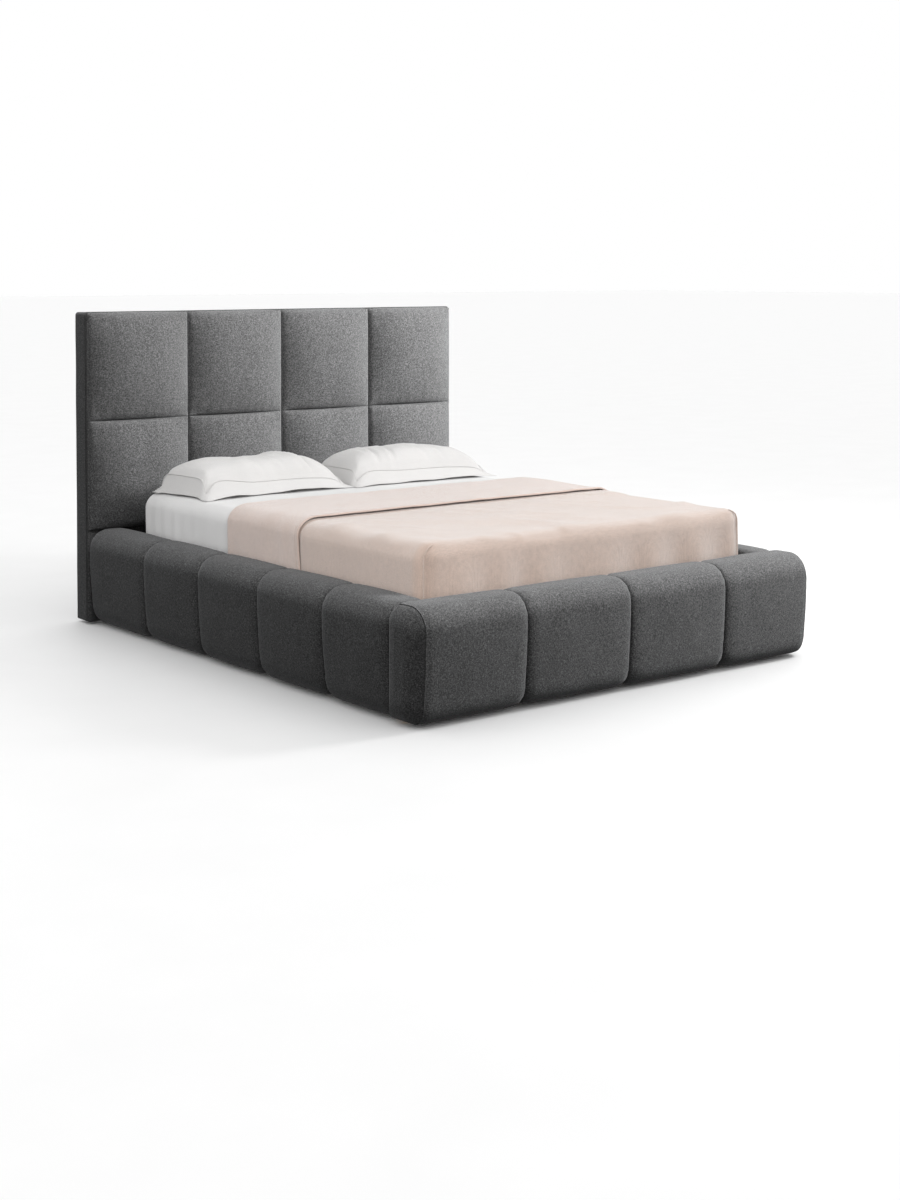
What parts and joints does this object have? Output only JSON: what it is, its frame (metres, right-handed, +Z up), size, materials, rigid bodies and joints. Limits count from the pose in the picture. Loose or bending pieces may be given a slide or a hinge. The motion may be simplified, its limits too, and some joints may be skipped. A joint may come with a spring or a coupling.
{
  "type": "upholstered headboard bed",
  "caption": "Double bed with a padded panel headboard, padded box rails to the floor, mattress and bedding, and a slatted base that lifts over a storage box.",
  "frame": {"origin": "on the floor, at the centre of the bed's footprint", "axes": "+X to the right seen from the foot, +Y from the foot to the headboard, +Z up"},
  "size_m": [1.99, 2.48, 1.36],
  "materials": {
    "grey_fabric": "matte",
    "timber": "matte",
    "panel_board": "matte",
    "birch": "satin",
    "grey_steel": "satin",
    "zinc_steel": "satin",
    "black_steel": "satin",
    "chrome": "polished",
    "black_plastic": "matte",
    "webbing": "matte",
    "ticking": "matte",
    "linen": "matte",
    "white_cotton": "matte"
  },
  "bodies": {
    "bed_frame": {"headboard_panel": "grey_fabric", "headboard_pad_lower_1": "grey_fabric", "headboard_pad_lower_2": "grey_fabric", "headboard_pad_lower_3": "grey_fabric", "headboard_pad_lower_4": "grey_fabric", "headboard_pad_upper_1": "grey_fabric", "headboard_pad_upper_2": "grey_fabric", "headboard_pad_upper_3": "grey_fabric", "headboard_pad_upper_4": "grey_fabric", "headboard_mount_left": "zinc_steel", "headboard_mount_right": "zinc_steel", "side_rail_core_left": "timber", "side_rail_core_right": "timber", "foot_rail_core": "timber", "side_rail_pad_left_1": "grey_fabric", "side_rail_pad_left_2": "grey_fabric", "side_rail_pad_left_3": "grey_fabric", "side_rail_pad_left_4": "grey_fabric", "side_rail_pad_left_5": "grey_fabric", "side_rail_pad_right_1": "grey_fabric", "side_rail_pad_right_2": "grey_fabric", "side_rail_pad_right_3": "grey_fabric", "side_rail_pad_right_4": "grey_fabric", "side_rail_pad_right_5": "grey_fabric", "foot_rail_pad_1": "grey_fabric", "foot_rail_pad_2": "grey_fabric", "foot_rail_pad_3": "grey_fabric", "foot_rail_pad_4": "grey_fabric", "head_batten": "timber", "foot_rest_left": "timber", "foot_rest_right": "timber", "floor_panel_left": "panel_board", "floor_panel_right": "panel_board", "glide_left_foot": "black_plastic", "glide_left_head": "black_plastic", "glide_right_foot": "black_plastic", "glide_right_head": "black_plastic", "lift_base_plate_left": "grey_steel", "lift_base_plate_right": "grey_steel"},
    "lift_base": {"base_tube_left": "grey_steel", "base_tube_right": "grey_steel", "base_tube_head": "grey_steel", "base_tube_foot": "grey_steel", "base_spine": "grey_steel", "slat_bank_left": "birch", "slat_bank_right": "birch", "mattress_stop": "grey_steel", "pull_strap": "webbing", "mattress": "ticking", "coverlet": "linen", "pillow_left": "white_cotton", "pillow_right": "white_cotton"},
    "main_arm_left": {"main_arm_left": "grey_steel"},
    "main_arm_right": {"main_arm_right": "grey_steel"},
    "link_arm_left": {"link_arm_left": "grey_steel"},
    "link_arm_right": {"link_arm_right": "grey_steel"},
    "gas_cylinder_left": {"gas_cylinder_left": "black_steel"},
    "gas_cylinder_right": {"gas_cylinder_right": "black_steel"},
    "gas_rod_left": {"gas_rod_left": "chrome"},
    "gas_rod_right": {"gas_rod_right": "chrome"}
  },
  "joints": [
    {"name": "main_arm_left_swing", "type": "hinge", "parent": "bed_frame", "child": "main_arm_left", "pos_m": [-0.7838, 0.031, 0.092], "axis": [1, 0, 0], "range_deg": [0, 23.31]},
    {"name": "main_arm_right_swing", "type": "hinge", "parent": "bed_frame", "child": "main_arm_right", "pos_m": [0.7838, 0.031, 0.092], "axis": [1, 0, 0], "range_deg": [0, 23.31]},
    {"name": "base_tilt", "type": "hinge", "parent": "main_arm_left", "child": "lift_base", "pos_m": [-0.7838, 0.4337, 0.21129], "axis": [-1, 0, 0], "range_deg": [0, 57.3]},
    {"name": "link_arm_left_swing", "type": "hinge", "parent": "bed_frame", "child": "link_arm_left", "pos_m": [-0.7928, 0.33068, 0.25235], "axis": [1, 0, 0], "range_deg": [0, 44.91]},
    {"name": "gas_cylinder_left_tilt", "type": "hinge", "parent": "bed_frame", "child": "gas_cylinder_left", "pos_m": [-0.80165, 0.33093, 0.08572], "axis": [1, 0, 0], "range_deg": [0, 11.66]},
    {"name": "gas_rod_left_tilt", "type": "hinge", "parent": "main_arm_left", "child": "gas_rod_left", "pos_m": [-0.80165, 0.26643, 0.27793], "axis": [-1, 0, 0], "range_deg": [0, 11.66]},
    {"name": "link_arm_right_swing", "type": "hinge", "parent": "bed_frame", "child": "link_arm_right", "pos_m": [0.7928, 0.33068, 0.25235], "axis": [1, 0, 0], "range_deg": [0, 44.91]},
    {"name": "gas_cylinder_right_tilt", "type": "hinge", "parent": "bed_frame", "child": "gas_cylinder_right", "pos_m": [0.80165, 0.33093, 0.08572], "axis": [1, 0, 0], "range_deg": [0, 11.66]},
    {"name": "gas_rod_right_tilt", "type": "hinge", "parent": "main_arm_right", "child": "gas_rod_right", "pos_m": [0.80165, 0.26643, 0.27793], "axis": [-1, 0, 0], "range_deg": [0, 11.66]}
  ],
  "couplings": [
    {"joint": "main_arm_left_swing", "follows": "base_tilt", "ratio": 0.40663},
    {"joint": "main_arm_right_swing", "follows": "base_tilt", "ratio": 0.40663},
    {"joint": "link_arm_left_swing", "follows": "base_tilt", "ratio": 0.7836},
    {"joint": "link_arm_right_swing", "follows": "base_tilt", "ratio": 0.7836},
    {"joint": "gas_cylinder_left_tilt", "follows": "base_tilt", "ratio": 0.20332},
    {"joint": "gas_cylinder_right_tilt", "follows": "base_tilt", "ratio": 0.20332},
    {"joint": "gas_rod_left_tilt", "follows": "base_tilt", "ratio": 0.20332},
    {"joint": "gas_rod_right_tilt", "follows": "base_tilt", "ratio": 0.20332}
  ]
}
